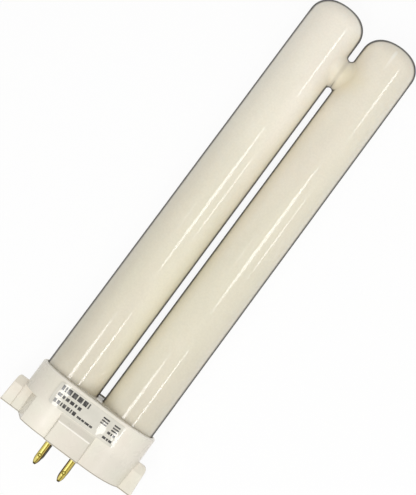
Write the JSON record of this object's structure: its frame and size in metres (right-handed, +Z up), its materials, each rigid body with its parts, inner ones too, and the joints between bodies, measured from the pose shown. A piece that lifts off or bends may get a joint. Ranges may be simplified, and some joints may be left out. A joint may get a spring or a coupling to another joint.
{
  "type": "twin-tube compact fluorescent lamp",
  "caption": "Plug-in fluorescent lamp: straight parallel glass tubes joined by a short fused bridge near their tips, in a plastic cap with end ears, a latch boss and contact pins.",
  "frame": {"origin": "bottom centre of the lamp's box as it lies at rest on its plain back", "axes": "+Y along the tubes from the pins towards the tips, +Z up out of the labelled front, X across the two tubes; the tubes' axes lean 1.5 degrees down towards the tips, as the lamp lies"},
  "size_m": [0.0528, 0.1818, 0.0294],
  "materials": {
    "milky_glass": "glossy clear glass with a cream white phosphor coat inside, opaque",
    "cap_plastic": "warm white moulded plastic, satin",
    "clear_film": "thin glossy label film over the cap plastic, with plain bars for print",
    "cement": "pale grey basing cement, matt",
    "pin_brass": "drawn brass, lightly tarnished",
    "lead_nickel": "thin nickel-plated wire"
  },
  "bodies": {
    "root": {"glass_envelope": "milky_glass", "cap": "cap_plastic", "label_film": "clear_film", "cement_left": "cement", "cement_right": "cement", "pin_front_left": "pin_brass", "pin_front_right": "pin_brass", "pin_back_left": "pin_brass", "pin_back_right": "pin_brass", "lead_front_left": "lead_nickel", "lead_front_right": "lead_nickel", "lead_back_left": "lead_nickel", "lead_back_right": "lead_nickel"}
  },
  "joints": []
}
